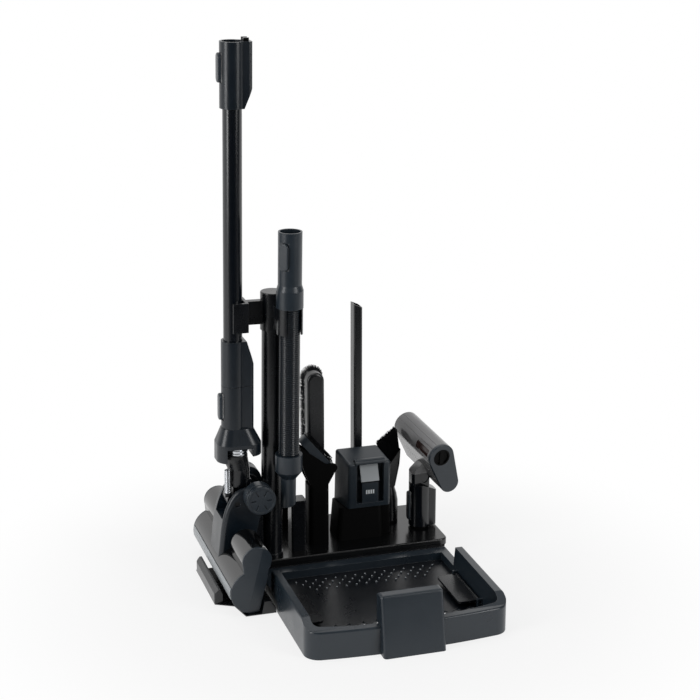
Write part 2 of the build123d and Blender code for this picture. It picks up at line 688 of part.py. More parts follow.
def wand_top_collar():
    body = upright(oblong(22, -146.5, 17), 880, 994)
    body -= along_y(polygon((-146, 917), (-162, 879), (-130, 879), (-130, 917)), WAND_Y - 30, WAND_Y + 30)
    body -= rod_z(WAND_X, WAND_Y, WAND_R + 0.02, 879, 936)
    body -= rod_z(WAND_X, WAND_Y, 18, 936, 995)
    body -= button_pocket(924, 975, 19)
    return lean * body


def wand_contacts():
    return lean * Compound([block(-162, -152, WAND_Y + dy - 2, WAND_Y + dy + 2, 994, 1000) for dy in (-7, 7)])


def jaw_cheeks():
    outer = JAW_HALF + JAW_WALL
    cheeks = []
    for near, far in ((-outer, -JAW_HALF), (JAW_HALF, outer)):
        cheek = block(WAND_X - JAW_REACH, WAND_X + outer, WAND_Y + near, WAND_Y + far, JAW_BOTTOM, JAW_TOP)
        cheeks.append(fillet(cheek.edges().filter_by(Axis.Z), 2.4))
    return cheeks


def clip_bracket():
    body = rod_z(POST_X, POST_Y, SLEEVE_R, SLEEVE_BOTTOM, SLEEVE_TOP)
    body = fillet(body.faces().sort_by(Axis.Z)[-1].edges(), 2)
    body += block(WAND_X + JAW_HALF + 2, POST_X - 15, WAND_Y + 2, WAND_Y + 16, 490, 533)
    body += rod_z(HOSE_X, HOSE_Y, 23.8, 480, HOSE_TOP - 0.3)
    body += Pos((POST_X + HOSE_X) / 2, (POST_Y + HOSE_Y) / 2, 504) * Rot(0, 0, 24.5) * Box(24, 14, 42)
    body -= rod_z(POST_X, POST_Y, POST_R + 0.02, SLEEVE_BOTTOM - 1, POST_TOP)
    body -= rod_z(HOSE_X, HOSE_Y, HOSE_R + 1, 479, HOSE_TOP)
    mouth = block(-15, 15, -40, 0, 470, HOSE_TOP)
    body -= Pos(HOSE_X, HOSE_Y, 0) * Rot(0, 0, 11) * mouth
    # The arm carries a web behind the wand; a sprung cheek sits on each side of the web.
    web_half = JAW_HALF - JAW_FIT
    body += block(WAND_X + JAW_HALF, WAND_X + JAW_HALF + JAW_WALL, WAND_Y - web_half, WAND_Y + web_half,
                  JAW_BOTTOM, JAW_TOP)
    return lean * Compound([body, *jaw_cheeks()])


def post():
    body = lean * rod_z(POST_X, POST_Y, POST_R, PLATE_TOP - 6, POST_TOP)
    body += rod_z(POST_X, POST_Y, POST_R + 2.5, PLATE_TOP, PLATE_TOP + 8)
    return body - block(POST_X - 60, POST_X + 60, POST_Y - 60, POST_Y + 60, 0, PLATE_TOP)


# Hose tool

HOSE_TOP = 528.0
HOSE_BOTTOM = 252.0
HOSE_END = 2 * HOSE_R


def hose_cuff():
    x, y = HOSE_X, HOSE_Y
    body = rod_z(x, y, 24.5, HOSE_TOP, 560) + cone_z(x, y, 24.5, 21.5, 560, 570) + rod_z(x, y, 21.5, 570, 666)
    body -= rod_z(x, y, HOSE_ROOT + 0.02, HOSE_TOP - 1, HOSE_TOP + HOSE_END)
    body -= rod_z(x, y, 18.3, HOSE_TOP + HOSE_END, 667)
    body -= Pos(x, y, 0) * Rot(0, 0, -45) * Pos(-x, -y, 0) * hose_button_pocket()
    return lean * body


def hose_button_pocket():
    return block(HOSE_X - 9.4, HOSE_X + 9.4, HOSE_Y - 30, HOSE_Y - 19.4, 598.6, 648.4)


def hose_button():
    pad = extrude(Plane.XZ.offset(24.5) * Pos(0, 623.5) * RectangleRounded(18, 49, 8.5), -3)
    pad = fillet(pad.faces().sort_by(Axis.Y)[0].edges(), 2)
    return lean * Pos(HOSE_X, HOSE_Y, 0) * Rot(0, 0, -45) * pad


def ribbed_hose():
    pitch = (HOSE_TOP - HOSE_BOTTOM) / HOSE_RIBS
    rings = [Pos(HOSE_X, HOSE_Y, HOSE_BOTTOM - HOSE_END + 0.5) * Circle(HOSE_ROOT)]
    for i in range(HOSE_RIBS):
        z = HOSE_BOTTOM + pitch * i
        for share, r in ((0, HOSE_ROOT), (0.25, HOSE_ROOT), (0.4, HOSE_R), (0.85, HOSE_R)):
            rings.append(Pos(HOSE_X, HOSE_Y, z + pitch * share) * Circle(r))
    rings.append(Pos(HOSE_X, HOSE_Y, HOSE_TOP) * Circle(HOSE_ROOT))
    rings.append(Pos(HOSE_X, HOSE_Y, HOSE_TOP + HOSE_END - 0.5) * Circle(HOSE_ROOT))
    tube = loft(rings, ruled=True)
    return lean * (tube - rod_z(HOSE_X, HOSE_Y, HOSE_BORE, HOSE_BOTTOM - 60, HOSE_TOP + 60))


def hose_nozzle():
    x, y = HOSE_X, HOSE_Y
    low = HOSE_BOTTOM - HOSE_END
    body = rod_z(x, y, 25, 220, HOSE_BOTTOM) + cone_z(x, y, 14, 25, 206, 220) + rod_z(x, y, 13.6, 148, 206)
    body -= rod_z(x, y, HOSE_ROOT + 0.02, low, HOSE_BOTTOM + 1)
    body -= rod_z(x, y, 11.5, 140, low + 1)
    body -= along_y(polygon((x - 20, 140), (x - 20, 148), (x + 20, 158), (x + 20, 140)), y - 30, y + 30)
    return lean * body


# Hand tools

def tool_neck(at, r, top):
    return rod_z(*at, r, PLATE_TOP + 4.4, top)


def peg_bore(at):
    return rod_z(*at, PEG_R + 0.4, PLATE_TOP, PEG_TOP + 4)


def crevice_tool():
    x, y = CREVICE_AT
    low = Pos(x, y, 104) * Circle(17.4)
    high = Pos(x, y, 165) * rounded(-8.5, 8.5, -14, 14, 5)
    body = tool_neck(CREVICE_AT, 17.4, 104) + loft([low, high])
    body += upright(Pos(x, y) * rounded(-8.5, 8.5, -14, 14, 5), 165, 484)
    body -= upright(Pos(x, y) * rounded(-6.2, 6.2, -11.7, 11.7, 3), 165, 485)
    body -= along_y(polygon((x - 20, 486), (x + 20, 486), (x + 20, 468)), y - 30, y + 30)
    return body - peg_bore(CREVICE_AT)


PADDLE_W = 34.0
PADDLE_T = 20.0
PADDLE_TOP = 355.0
PADDLE_BOTTOM = 120.0


def tall_brush_body():
    x, y = TALL_AT
    half = PADDLE_W / 2
    outline = (make_face(Polyline((x - half, PADDLE_TOP - half), (x - half, PADDLE_BOTTOM),
                                  (x + half, PADDLE_BOTTOM), (x + half, PADDLE_TOP - half))
                         + ThreePointArc((x + half, PADDLE_TOP - half), (x, PADDLE_TOP),
                                         (x - half, PADDLE_TOP - half))))
    paddle = along_y(outline, y - PADDLE_T / 2, y + PADDLE_T / 2)
    paddle = fillet(paddle.faces().sort_by(Axis.Y)[0].edges(), 6)
    return paddle + tool_neck(TALL_AT, 18, 125) - peg_bore(TALL_AT)


BRISTLE = 1.5
SLICE = 2.0


def tall_brush_bristles():
    x, y = TALL_AT
    half = PADDLE_W / 2 - 1
    back = y + PADDLE_T / 2
    low = 190.0
    length = PADDLE_TOP - 1 - low
    field = Plane((x, back, low), x_dir=(-1, 0, 0), z_dir=(0, 1, 0))
    slab = upright(rounded(-half, half, 0, length, half - 0.5), 0, SLICE)
    strand = block(-BRISTLE / 2, BRISTLE / 2, -BRISTLE / 2, BRISTLE / 2, SLICE / 2, 17)
    strands = []
    for i in range(26):
        z = 14 + (length - 30) * i / 25
        for j in range(-2, 3):
            strands.append(Pos(j * 4.8, z, 0) * Rot(0, 9 * j, 0) * strand)
    for i in range(11):
        a = 18 * i
        spot = Pos(0, length - half, 0) * Rot(0, 0, a) * Pos(half - 3, 0, 0)
        strands.append(spot * Rot(0, 22, 0) * strand)
    return field * slab.fuse(*strands)


ANGLE_PIVOT = (22.0, 158.0, 188.0)
ANGLE_TILT = 50.0
BAR_L = 82.0
BAR_HALF = 14.0
angle_frame = Pos(*ANGLE_PIVOT) * Rot(0, ANGLE_TILT, 0)


def angle_brush_body():
    x, z = ANGLE_PIVOT[0], ANGLE_PIVOT[2]
    y0 = ANGLE_PIVOT[1] - BAR_HALF - 4
    y1 = ANGLE_PIVOT[1] + BAR_HALF + 4
    grip = upright(rounded(-24, 16, y0, y1, 9), PLATE_TOP, 156)
    edge = ThreePointArc((-41, 236), (-34, 190), (-18, 153))
    rest = Polyline((-18, 153), (10, 150), (x + 9, z), (x, z + 9), (x - 12, z + 9), (-41, 236))
    cheek = make_face(edge + rest) + Pos(x, z) * Circle(9)
    ears = along_y(cheek, y0, y0 + 3.6) + along_y(cheek, y1 - 3.6, y1)
    return grip + ears + rod_y(x, z, 3.5, y0, y1)


def angle_brush_head():
    bar = upright(rounded(-BAR_L, -2, -BAR_HALF, BAR_HALF, 12), -12, 4)
    root = block(-14, 0, -BAR_HALF, BAR_HALF, -8, 2) + rod_y(0, -1, 8, -BAR_HALF, BAR_HALF)
    return angle_frame * (bar + root - rod_y(0, 0, 3.5 + RUN, -20, 20))


def angle_brush_bristles():
    slab = upright(rounded(-BAR_L + 3, -9, -11, 11, 9), 4, 4 + SLICE)
    strands = []
    for i in range(20):
        for j in range(5):
            x = -BAR_L + 6 + 62 * i / 19
            y = (j - 2) * 4
            strands.append(block(x - BRISTLE / 2, x + BRISTLE / 2, y - BRISTLE / 2, y + BRISTLE / 2, 5, 13))
    return angle_frame * slab.fuse(*strands)


DUST_HALF = 12.0
DUST_ROOT = ((147.5, 150.0), (176.0, 188.5))
DUST_TIP = ((131.5, 201.0), (170.5, 231.0))
DUST_ROWS = 7
DUST_COLUMNS = 16


def between(line, share):
    (x0, z0), (x1, z1) = line
    return x0 + (x1 - x0) * share, z0 + (z1 - z0) * share


def dust_brush_body():
    x, y = DUST_AT
    neck = tool_neck(DUST_AT, 17.5, 82) + cone_z(x, y, 17.5, 15, 82, 96) + cone_z(x, y, 15, 10, 96, 112)
    bell = polygon(*DUST_ROOT, (174, 150), (x + 10, 112), (x - 9, 112))
    bell = along_y(bell, y - DUST_HALF, y + DUST_HALF)
    bell = fillet(bell.edges().filter_by(lambda e: e.length > 20 and e.center().Z < 165), 4)
    return neck + bell - peg_bore(DUST_AT)


def dust_brush_bristles():
    """Strands that fan out from the slanted mouth to a longer line of tips."""
    y = DUST_AT[1]
    (x0, z0), (x1, z1) = DUST_ROOT
    slope = atan2(z1 - z0, x1 - x0)
    rise = (-SLICE * sin(slope), SLICE * cos(slope))
    mat = polygon((x0, z0), (x1, z1), (x1 + rise[0], z1 + rise[1]), (x0 + rise[0], z0 + rise[1]))
    mat = along_y(mat, y - DUST_HALF + 1, y + DUST_HALF - 1)
    strands = []
    for i in range(DUST_COLUMNS):
        share = 0.04 + 0.92 * i / (DUST_COLUMNS - 1)
        root_x, root_z = between(DUST_ROOT, share)
        tip_x, tip_z = between(DUST_TIP, share)
        turn = degrees(atan2(tip_x - root_x, tip_z - root_z))
        length = hypot(tip_x - root_x, tip_z - root_z)
        strand = block(-BRISTLE / 2, BRISTLE / 2, -BRISTLE / 2, BRISTLE / 2, SLICE / 2, length)
        for j in range(DUST_ROWS):
            row = y + 3 * (j - (DUST_ROWS - 1) / 2)
            strands.append(Pos(root_x, row, root_z) * Rot(0, turn, 0) * strand)
    return mat.fuse(*strands)


# Small powered brush: its frame has the roller along local Y

MINI_TURN = 8.6
MINI_TILT = 8.2
MINI_LENGTH = 146.0
MINI_LOBE = 26.0
MINI_BORE = 22.0
MINI_LIP = 19.0
MINI_LIP_AT = (21.5, -60.0)
MINI_LOCK = 16.5
MINI_GRIP_TOP = 128.0
mini_frame = Pos(212.5, 168, 212.5) * Rot(MINI_TILT, 0, 0) * Rot(0, 0, MINI_TURN)


def mini_section(r, lip):
    return make_hull(Circle(r).edges() + (Pos(*MINI_LIP_AT) * Circle(lip)).edges())


def mini_shell():
    half = MINI_LENGTH / 2
    x, y = MINI_AT
    grip = upright(oblong_at(MINI_AT, 21, 31, 14), PLATE_TOP + 4.4, MINI_GRIP_TOP)
    slant = polygon((x, MINI_GRIP_TOP + 0.5), (x + 36, 111), (x + 36, MINI_GRIP_TOP + 2))
    grip -= along_y(slant, y - 30, y + 30)
    side = polygon((x - 19, 120), (x - 19, 152), (x + 2, 172), (x + 17, 150), (x + 17, 116))
    throat = along_y(side, y - 13, y + 13)
    throat = fillet(throat.edges().filter_by(Axis.Z), 5)
    throat -= along_y(Pos(x + 6, 147) * Ellipse(8.5, 16), y - 14, y - 11)
    body = mini_frame * along_y(mini_section(MINI_LOBE, MINI_LIP), -half + 6, half) + throat + grip
    body -= mini_frame * rod_y(0, 0, MINI_BORE, -half, half - 4)
    body -= mini_frame * block(9, 50, -half + 12, half - 10, -16, 14)
    body -= block(x - 30, x - 18.5, y - 8.4, y + 8.4, 53.6, 112.4)
    return body - peg_bore(MINI_AT)


def oblong_at(at, r, right, half):
    return Pos(*at) * (Circle(r) + rounded(0, right, -half, half, 7))


def mini_button():
    pad = along_x(Pos(MINI_AT[1], 83) * RectangleRounded(16, 58, 7), MINI_AT[0] - 24.5, MINI_AT[0] - 21)
    return fillet(pad.faces().sort_by(Axis.X)[0].edges(), 1.8)


def mini_end_cap():
    half = MINI_LENGTH / 2
    cap = along_y(mini_section(MINI_LOBE, MINI_LIP), -half, -half + 6)
    cap = fillet(cap.faces().sort_by(Axis.Y)[0].edges(), 1.5)
    return mini_frame * (cap - rod_y(0, 0, MINI_LOCK + 0.05, -half - 1, -half + 7))


def mini_lock():
    half = MINI_LENGTH / 2
    disc = rod_y(0, 0, MINI_LOCK, -half - 0.5, -half + 5.6)
    disc -= rod_y(0, 0, MINI_LOCK - 2.5, -half - 1, -half + 2)
    disc += block(-4, 4, -half, -half + 3, -MINI_LOCK + 1, MINI_LOCK - 1)
    return mini_frame * (disc - rod_y(0, 0, 3 + RUN, -half + 3.2, -half + 6))


def mini_roller():
    half = MINI_LENGTH / 2
    drum = rod_y(0, 0, 15, -half + 8, half - 6)
    for i in range(4):
        drum += Rot(0, 90 * i, 0) * block(-1.5, 1.5, -half + 9, half - 7, 13, 20.5)
    return mini_frame * (drum + rod_y(0, 0, 3, -half + 3.6, half - 4.2))


NODES = {
    "base_shell": base_shell,
    "base_bottom_cover": base_bottom_cover,
    "rubber_feet": rubber_feet,
    "top_plate": top_plate,
    "head_cradle": head_cradle,
    "tool_pegs": tool_pegs,
    "brush_stand": brush_stand,
    "charger_dock": charger_dock,
    "charger_board": charger_board,
    "charger_contacts": charger_contacts,
    "post": post,
    "clip_bracket": clip_bracket,
    "battery_case": battery_case,
    "battery_cells": battery_cells,
    "battery_latch": battery_latch,
    "battery_lights": battery_lights,
    "wash_tray": wash_tray,
    "tray_front_panel": tray_front_panel,
    "flap_left": lambda: flap(-1),
    "flap_right": lambda: flap(1),
    "head_shell": head_shell,
    "head_sole_plate": head_sole_plate,
    "end_cap_front": lambda: end_cap(HEAD_FRONT, HEAD_FRONT + CAP_T),
    "end_cap_back": lambda: end_cap(HEAD_BACK, HEAD_BACK - CAP_T),
    "bumper_strip": bumper_strip,
    "brush_roller": brush_roller,
    "drive_motor": drive_motor,
    "motor_pulley": motor_pulley,
    "drive_belt": drive_belt,
    "saddle": saddle,
    "wheel_axle": wheel_axle,
    "wheel_front": lambda: wheel(-1),
    "wheel_back": lambda: wheel(1),
    "neck_tube": neck_tube,
    "neck_hose": neck_hose,
    "swivel_ring": swivel_ring,
    "neck_socket": neck_socket,
    "neck_button": lambda: side_button(317, 367, 19),
    "wand_lower_collar": wand_lower_collar,
    "wand_tube": wand_tube,
    "wand_top_collar": wand_top_collar,
    "wand_button": lambda: side_button(924, 975, 19),
    "wand_contacts": wand_contacts,
    "hose_cuff": hose_cuff,
    "hose_button": hose_button,
    "ribbed_hose": ribbed_hose,
    "hose_nozzle": hose_nozzle,
    "crevice_tool": crevice_tool,
    "tall_brush_body": tall_brush_body,
    "tall_brush_bristles": tall_brush_bristles,
    "angle_brush_body": angle_brush_body,
    "angle_brush_head": angle_brush_head,
    "angle_brush_bristles": angle_brush_bristles,
    "dust_brush_body": dust_brush_body,
    "dust_brush_bristles": dust_brush_bristles,
    "mini_shell": mini_shell,
    "mini_end_cap": mini_end_cap,
    "mini_lock": mini_lock,
    "mini_roller": mini_roller,
    "mini_button": mini_button,
}

os.makedirs("parts", exist_ok=True)
for name, make in NODES.items():
    export_step(Pos(-MID_X, 0, 0) * make(), f"parts/{name}.step")
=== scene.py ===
import json
import math
import random

import bmesh
import bpy
from mathutils import Matrix, Vector


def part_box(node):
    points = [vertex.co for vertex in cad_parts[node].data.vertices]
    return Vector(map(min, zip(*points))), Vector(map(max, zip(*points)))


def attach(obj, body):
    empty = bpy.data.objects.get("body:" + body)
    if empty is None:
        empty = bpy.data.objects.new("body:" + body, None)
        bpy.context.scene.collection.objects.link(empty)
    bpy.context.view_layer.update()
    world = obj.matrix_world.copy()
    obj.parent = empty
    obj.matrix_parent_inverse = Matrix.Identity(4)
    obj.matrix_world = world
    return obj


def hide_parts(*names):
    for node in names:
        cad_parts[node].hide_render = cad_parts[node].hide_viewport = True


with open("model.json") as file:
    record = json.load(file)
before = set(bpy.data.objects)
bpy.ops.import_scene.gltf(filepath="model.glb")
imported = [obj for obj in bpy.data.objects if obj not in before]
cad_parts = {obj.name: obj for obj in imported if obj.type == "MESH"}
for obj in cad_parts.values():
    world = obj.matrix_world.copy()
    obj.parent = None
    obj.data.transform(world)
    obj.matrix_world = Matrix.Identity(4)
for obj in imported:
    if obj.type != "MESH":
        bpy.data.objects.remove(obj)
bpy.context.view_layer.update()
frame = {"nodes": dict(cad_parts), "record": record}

bl_info = {
    "name": "Stick vacuum station",
    "version": (1, 0, 0),
    "blender": (4, 5, 0),
    "location": "3D View > Sidebar > Vacuum",
    "description": "Dresses the CAD frame of a stick vacuum on its floor station",
    "category": "Object",
}

MM = 0.001
# The CAD model is drawn about the plate and then moved left, so that the outline's middle is the origin.
MID_X = 12.63
LEAN = math.radians(1.0)
LEAN_FOOT = Vector((-104.0 - MID_X, 0.0, 38.0)) * MM
FINISHES = {}


def spot(x, y, z):
    """A point of the CAD drawing, in its millimetres, as metres in the row frame."""
    return Vector((x - MID_X, y, z)) * MM


def leaning():
    """The turn that post, wand and hose share."""
    return Matrix.Translation(LEAN_FOOT) @ Matrix.Rotation(LEAN, 4, "Y") @ Matrix.Translation(-LEAN_FOOT)


def mini_place():
    """The small powered brush's own frame: its roller lies along Y."""
    turn = Matrix.Rotation(math.radians(8.2), 4, "X") @ Matrix.Rotation(math.radians(8.6), 4, "Z")
    return Matrix.Translation(spot(212.5, 168.0, 212.5)) @ turn


def linear(text):
    """An sRGB hex colour as linear RGBA."""
    parts = [int(text[i:i + 2], 16) / 255 for i in (1, 3, 5)]
    return tuple(c / 12.92 if c <= 0.04045 else ((c + 0.055) / 1.055) ** 2.4 for c in parts) + (1.0,)


def length_prop(name, description, mm):
    return bpy.props.FloatProperty(name=name, description=description, default=mm * MM, subtype="DISTANCE")


def colour_prop(name, description, text):
    return bpy.props.FloatVectorProperty(name=name, description=description, default=linear(text), size=4,
                                         min=0.0, max=1.0, subtype="COLOR")


class VacuumSizes(bpy.types.PropertyGroup):
    hose_ribs: bpy.props.IntProperty(
        name="Hose ribs", description="Ribs between the hose's two cuffs", default=70, min=20)
    hose_radius: length_prop("Hose radius", "Outside of the ribs", 19.2)
    hose_root: length_prop("Hose root", "Radius between the ribs", 17.9)
    duct_rings: bpy.props.IntProperty(
        name="Duct rings", description="Rings of the small duct at the neck", default=12, min=4)
    bristle: length_prop("Bristle width", "Width of one nylon strand at its root", 1.3)
    edge: length_prop("Edge softness", "Radius that moulded edges are shaded with", 1.0)


class VacuumColours(bpy.types.PropertyGroup):
    black: colour_prop("Black", "Moulded black plastic", "#070b11")
    black_deep: colour_prop("Deep black", "The darker mottle of the black", "#06080b")
    gloss: colour_prop("Gloss black", "Polished plastic", "#0b0c0e")
    gloss_deep: colour_prop("Deep gloss", "The darker mottle of the polished plastic", "#070809")
    grey: colour_prop("Dark grey", "Moulded dark grey plastic", "#232c34")
    grey_deep: colour_prop("Deep grey", "The darker mottle of the grey", "#1d262e")
    graphite: colour_prop("Graphite", "Satin shell of the small brush", "#7b7b7c")
    graphite_deep: colour_prop("Deep graphite", "The darker mottle of the satin shell", "#6f6f70")
    light: colour_prop("Light grey", "Pressed tab", "#a5aaad")
    light_deep: colour_prop("Deep light grey", "The darker mottle of the tab", "#92979a")
    satin: colour_prop("Satin black", "Top plate", "#0c0d0e")
    satin_deep: colour_prop("Deep satin black", "The darker mottle of the top plate", "#08090a")
    dock: colour_prop("Dock black", "Matt black of the charging dock", "#020202")
    collar: colour_prop("Collar grey", "Collars of the wand", "#0f1922")
    collar_deep: colour_prop("Deep collar grey", "The darker mottle of the collars", "#0a131b")
    hose: colour_prop("Hose grey", "Soft plastic of the hose", "#0d141b")
    # Painted highlight: the pale colour that moulded edges are mixed towards, in place of the light along the edges.
    painted_edge_highlight: colour_prop("Rubbed edge", "Where hands polish a moulded edge", "#53575a")
    tube: colour_prop("Tube", "Anodised wand tube", "#060b12")
    nylon: colour_prop("Nylon", "Bristles", "#0b0d10")
    window: colour_prop("Window", "Smoked window of the small brush", "#2a1c19")
    floor: colour_prop("Floor", "Studio floor", "#f6f6f6")


def add(tree, kind, inputs=None, **settings):
    """Adds a node with its settings, and fills its inputs with values or links."""
    made = tree.nodes.new(kind)
    for key, value in settings.items():
        setattr(made, key, value)
    for key, value in (inputs or {}).items():
        if isinstance(value, bpy.types.NodeSocket):
            tree.links.new(value, made.inputs[key])
        else:
            made.inputs[key].default_value = value
    return made


def blank(name):
    """A new material with only its output and a Principled shader."""
    made = bpy.data.materials.new(name)
    made.use_nodes = True
    tree = made.node_tree
    tree.nodes.clear()
    shader = add(tree, "ShaderNodeBsdfPrincipled")
    add(tree, "ShaderNodeOutputMaterial", {"Surface": shader.outputs["BSDF"]})
    return made, tree, shader


def per_mm(size):
    """Noise scale for features of that size in millimetres."""
    return 1.0 / (size * MM)


def moulded(name, colour, deep, roughness, grain=1.1, height=0.10, coat=0.0, edge_highlight_share=0.35, low=None):
    """Injection-moulded ABS with a spark-eroded grain: a fine sparkle in the highlights, and edges made paler by a
    painted highlight.
    The grain is really about 0.3 mm and is drawn coarser so that it shows. Below the height low = (millimetres,
    least upward normal) the colour is black: the small brush's real black grip, and painted shade on the washing
    tray's floor."""
    colours = bpy.context.scene.vacuum_colours
    made, tree, shader = blank(name)
    place = add(tree, "ShaderNodeTexCoord").outputs["Object"]
    fine = add(tree, "ShaderNodeTexNoise", {"Vector": place, "Scale": per_mm(grain), "Detail": 3.0})
    cloud = add(tree, "ShaderNodeTexNoise", {"Vector": place, "Scale": per_mm(45.0), "Detail": 4.0})
    soft = add(tree, "ShaderNodeBevel", {"Radius": bpy.context.scene.vacuum_sizes.edge}, samples=4)
    flat = add(tree, "ShaderNodeNewGeometry").outputs["Normal"]
    turn = add(tree, "ShaderNodeVectorMath", {0: soft.outputs["Normal"], 1: flat}, operation="DOT_PRODUCT")
    # The edges are mixed towards a paler colour: a painted highlight along them.
    painted_edge_highlight = add(tree, "ShaderNodeMapRange", {"Value": turn.outputs["Value"], "From Min": 0.995, "From Max": 0.86,
                                              "To Min": 0.0, "To Max": edge_highlight_share})
    mottle = add(tree, "ShaderNodeMix", {"Factor": cloud.outputs["Fac"], "A": deep, "B": colour}, data_type="RGBA")
    tone = add(tree, "ShaderNodeMix", {"Factor": painted_edge_highlight.outputs["Result"], "A": mottle.outputs["Result"],
                                       "B": colours.painted_edge_highlight}, data_type="RGBA")
    # Black below the given height: painted shade on the washing tray's floor, and the real black grip of the small
    # brush.
    if low:
        level = add(tree, "ShaderNodeSeparateXYZ", {"Vector": place})
        below = add(tree, "ShaderNodeMath", {0: level.outputs["Z"], 1: low[0] * MM}, operation="LESS_THAN")
        up = add(tree, "ShaderNodeSeparateXYZ", {"Vector": flat})
        facing = add(tree, "ShaderNodeMath", {0: up.outputs["Z"], 1: low[1]}, operation="GREATER_THAN")
        both = add(tree, "ShaderNodeMath", {0: below.outputs["Value"], 1: facing.outputs["Value"]}, operation="MULTIPLY")
        tone = add(tree, "ShaderNodeMix", {"Factor": both.outputs["Value"], "A": tone.outputs["Result"],
                                           "B": colours.black}, data_type="RGBA")
    gloss = add(tree, "ShaderNodeMapRange", {"Value": cloud.outputs["Fac"], "From Min": 0.3, "From Max": 0.7,
                                             "To Min": roughness * 0.88, "To Max": roughness * 1.12})
    bump = add(tree, "ShaderNodeBump", {"Height": fine.outputs["Fac"], "Strength": height, "Distance": 0.3 * MM,
                                        "Normal": soft.outputs["Normal"]})
    tree.links.new(tone.outputs["Result"], shader.inputs["Base Color"])
    tree.links.new(gloss.outputs["Result"], shader.inputs["Roughness"])
    tree.links.new(bump.outputs["Normal"], shader.inputs["Normal"])
    shader.inputs["IOR"].default_value = 1.53
    shader.inputs["Coat Weight"].default_value = coat
    shader.inputs["Coat Roughness"].default_value = 0.06
    return made


def metal(name, colour, roughness, streak=0.6):
    """Drawn or plated metal: fine lines along the piece, a little uneven in gloss."""
    made, tree, shader = blank(name)
    place = add(tree, "ShaderNodeTexCoord").outputs["Object"]
    along = add(tree, "ShaderNodeMapping", {"Vector": place, "Scale": (1.0, 0.05, 1.0)})
    lines = add(tree, "ShaderNodeTexNoise", {"Vector": along.outputs["Vector"], "Scale": per_mm(streak)})
    gloss = add(tree, "ShaderNodeMapRange", {"Value": lines.outputs["Fac"], "To Min": roughness - 0.08,
                                             "To Max": roughness + 0.08})
    tree.links.new(gloss.outputs["Result"], shader.inputs["Roughness"])
    shader.inputs["Base Color"].default_value = linear(colour)
    shader.inputs["Metallic"].default_value = 1.0
    return made


def anodised(name, colour):
    """Black anodised aluminium tube: a satin sheen with faint drawing lines along the tube."""
    made, tree, shader = blank(name)
    place = add(tree, "ShaderNodeTexCoord").outputs["Object"]
    along = add(tree, "ShaderNodeMapping", {"Vector": place, "Scale": (1.0, 1.0, 0.02)})
    lines = add(tree, "ShaderNodeTexNoise", {"Vector": along.outputs["Vector"], "Scale": per_mm(1.2), "Detail": 3.0})
    gloss = add(tree, "ShaderNodeMapRange", {"Value": lines.outputs["Fac"], "To Min": 0.18, "To Max": 0.28})
    bump = add(tree, "ShaderNodeBump", {"Height": lines.outputs["Fac"], "Strength": 0.06, "Distance": 0.1 * MM})
    tree.links.new(gloss.outputs["Result"], shader.inputs["Roughness"])
    tree.links.new(bump.outputs["Normal"], shader.inputs["Normal"])
    shader.inputs["Base Color"].default_value = colour
    shader.inputs["IOR"].default_value = 1.6
    return made


def plain_coloured(name, colour, roughness, grain, height, shine=0.5):
    """Rubber, board lacquer or sleeve: one colour broken up by a soft grain."""
    made, tree, shader = blank(name)
    place = add(tree, "ShaderNodeTexCoord").outputs["Object"]
    fine = add(tree, "ShaderNodeTexNoise", {"Vector": place, "Scale": per_mm(grain), "Detail": 4.0})
    tint = add(tree, "ShaderNodeHueSaturation", {"Color": colour})
    value = add(tree, "ShaderNodeMapRange", {"Value": fine.outputs["Fac"], "To Min": 0.75, "To Max": 1.25})
    bump = add(tree, "ShaderNodeBump", {"Height": fine.outputs["Fac"], "Strength": height, "Distance": 0.3 * MM})
    tree.links.new(value.outputs["Result"], tint.inputs["Value"])
    tree.links.new(tint.outputs["Color"], shader.inputs["Base Color"])
    tree.links.new(bump.outputs["Normal"], shader.inputs["Normal"])
    shader.inputs["Roughness"].default_value = roughness
    shader.inputs["Specular IOR Level"].default_value = shine
    return made


def shade(bm):
    """Merged, outward and smooth."""
    bmesh.ops.remove_doubles(bm, verts=bm.verts, dist=0.01 * MM)
    bmesh.ops.recalc_face_normals(bm, faces=bm.faces)
    for face in bm.faces:
        face.smooth = True


def piece(name, bm, body, slot, *replaced, look=None):
    """A finished mesh as a piece that rides on a body."""
    mesh = bpy.data.meshes.new(name)
    bm.to_mesh(mesh)
    bm.free()
    made = bpy.data.objects.new(name, mesh)
    bpy.context.scene.collection.objects.link(made)
    mesh.materials.append(FINISHES[look or slot])
    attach(made, body)
    if replaced:
        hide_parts(*replaced)
    return made


def ribbed(bm, rings, low, high, radius, root, steps):
    """A ribbed tube along Z: one rib's outline is spun, then repeated up the tube."""
    pitch = (high - low) / rings
    outline = [(root, 0.0), (root, 0.2), (radius - 0.2 * MM, 0.34), (radius, 0.5), (radius, 0.7),
               (radius - 0.2 * MM, 0.86), (root, 1.0)]
    verts = [bm.verts.new((r, 0.0, low + share * pitch)) for r, share in outline]
    edges = [bm.edges.new(pair) for pair in zip(verts, verts[1:])]
    bmesh.ops.spin(bm, geom=verts + edges, cent=(0, 0, 0), axis=(0, 0, 1), angle=2 * math.pi, steps=steps,
                   use_merge=True)
    first = bm.verts[:] + bm.edges[:] + bm.faces[:]
    for i in range(1, rings):
        copy = bmesh.ops.duplicate(bm, geom=first)["geom"]
        bmesh.ops.translate(bm, verts=[g for g in copy if isinstance(g, bmesh.types.BMVert)], vec=(0, 0, pitch * i))


def slab(bm, place, size, soften=0.0):
    """A block of that size in millimetres, with its edges rounded."""
    stretch = Matrix.Diagonal((size[0] * MM, size[1] * MM, size[2] * MM, 1.0))
    verts = bmesh.ops.create_cube(bm, size=1.0, matrix=place @ stretch)["verts"]
    if soften:
        edges = list({e for v in verts for e in v.link_edges})
        bmesh.ops.bevel(bm, geom=edges, offset=soften * MM, affect="EDGES", segments=2, profile=0.5, material=-1)


